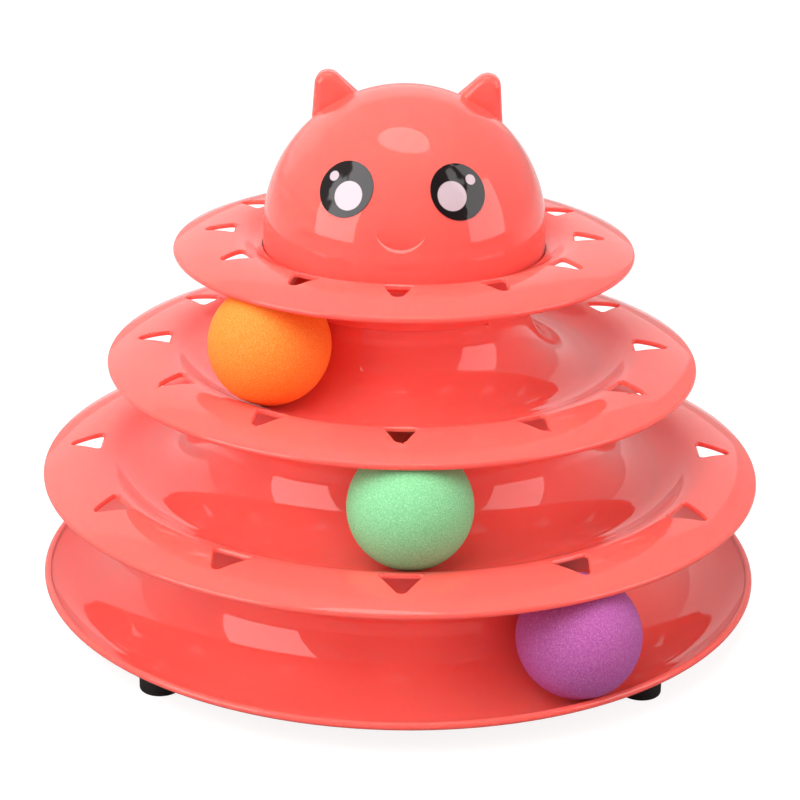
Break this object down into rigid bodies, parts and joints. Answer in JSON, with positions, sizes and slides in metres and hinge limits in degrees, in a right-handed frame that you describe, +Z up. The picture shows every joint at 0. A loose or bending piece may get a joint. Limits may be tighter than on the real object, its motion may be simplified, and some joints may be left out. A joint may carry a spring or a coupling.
{
  "type": "cat ball track toy",
  "caption": "Round tiered cat toy tower with balls rolling in open tracks between holed rings, topped by a domed cat head with ears.",
  "frame": {"origin": "middle of the floor circle under the tower", "axes": "+Z up along the tower's axis, -Y the way the head's face looks, +X to the face's left, which is the right in the picture"},
  "size_m": [0.25, 0.25, 0.1848],
  "materials": {
    "coral_shell": "gloss",
    "eye_sticker": "gloss",
    "purple_foam": "matte",
    "green_foam": "matte",
    "orange_foam": "matte",
    "black_rubber": "matte"
  },
  "bodies": {
    "base": {"base_tray": "coral_shell", "front_left_foot": "black_rubber", "front_right_foot": "black_rubber", "back_left_foot": "black_rubber", "back_right_foot": "black_rubber"},
    "lower_tier": {"lower_tier": "coral_shell"},
    "middle_tier": {"middle_tier": "coral_shell"},
    "top_ring": {"top_ring": "coral_shell"},
    "head": {"head_cap": "coral_shell", "left_eye": "eye_sticker", "right_eye": "eye_sticker"},
    "purple_ball": {"purple_ball": "purple_foam"},
    "green_ball": {"green_ball": "green_foam"},
    "orange_ball": {"orange_ball": "orange_foam"}
  },
  "joints": [
    {"name": "lower_tier_lift", "type": "slide", "parent": "base", "child": "lower_tier", "axis": [0, 0, 1], "range_m": [0, 0.03]},
    {"name": "middle_tier_lift", "type": "slide", "parent": "lower_tier", "child": "middle_tier", "axis": [0, 0, 1], "range_m": [0, 0.03]},
    {"name": "top_ring_lift", "type": "slide", "parent": "middle_tier", "child": "top_ring", "axis": [0, 0, 1], "range_m": [0, 0.03]},
    {"name": "head_lift", "type": "slide", "parent": "top_ring", "child": "head", "axis": [0, 0, 1], "range_m": [0, 0.03]},
    {"name": "purple_ball_roll", "type": "hinge", "parent": "base", "child": "purple_ball", "pos_m": [0, 0, 0.02935], "axis": [0, 0, 1], "continuous": true},
    {"name": "green_ball_roll", "type": "hinge", "parent": "lower_tier", "child": "green_ball", "pos_m": [0, 0, 0.0695], "axis": [0, 0, 1], "continuous": true},
    {"name": "orange_ball_roll", "type": "hinge", "parent": "middle_tier", "child": "orange_ball", "pos_m": [0, 0, 0.1085], "axis": [0, 0, 1], "continuous": true}
  ]
}
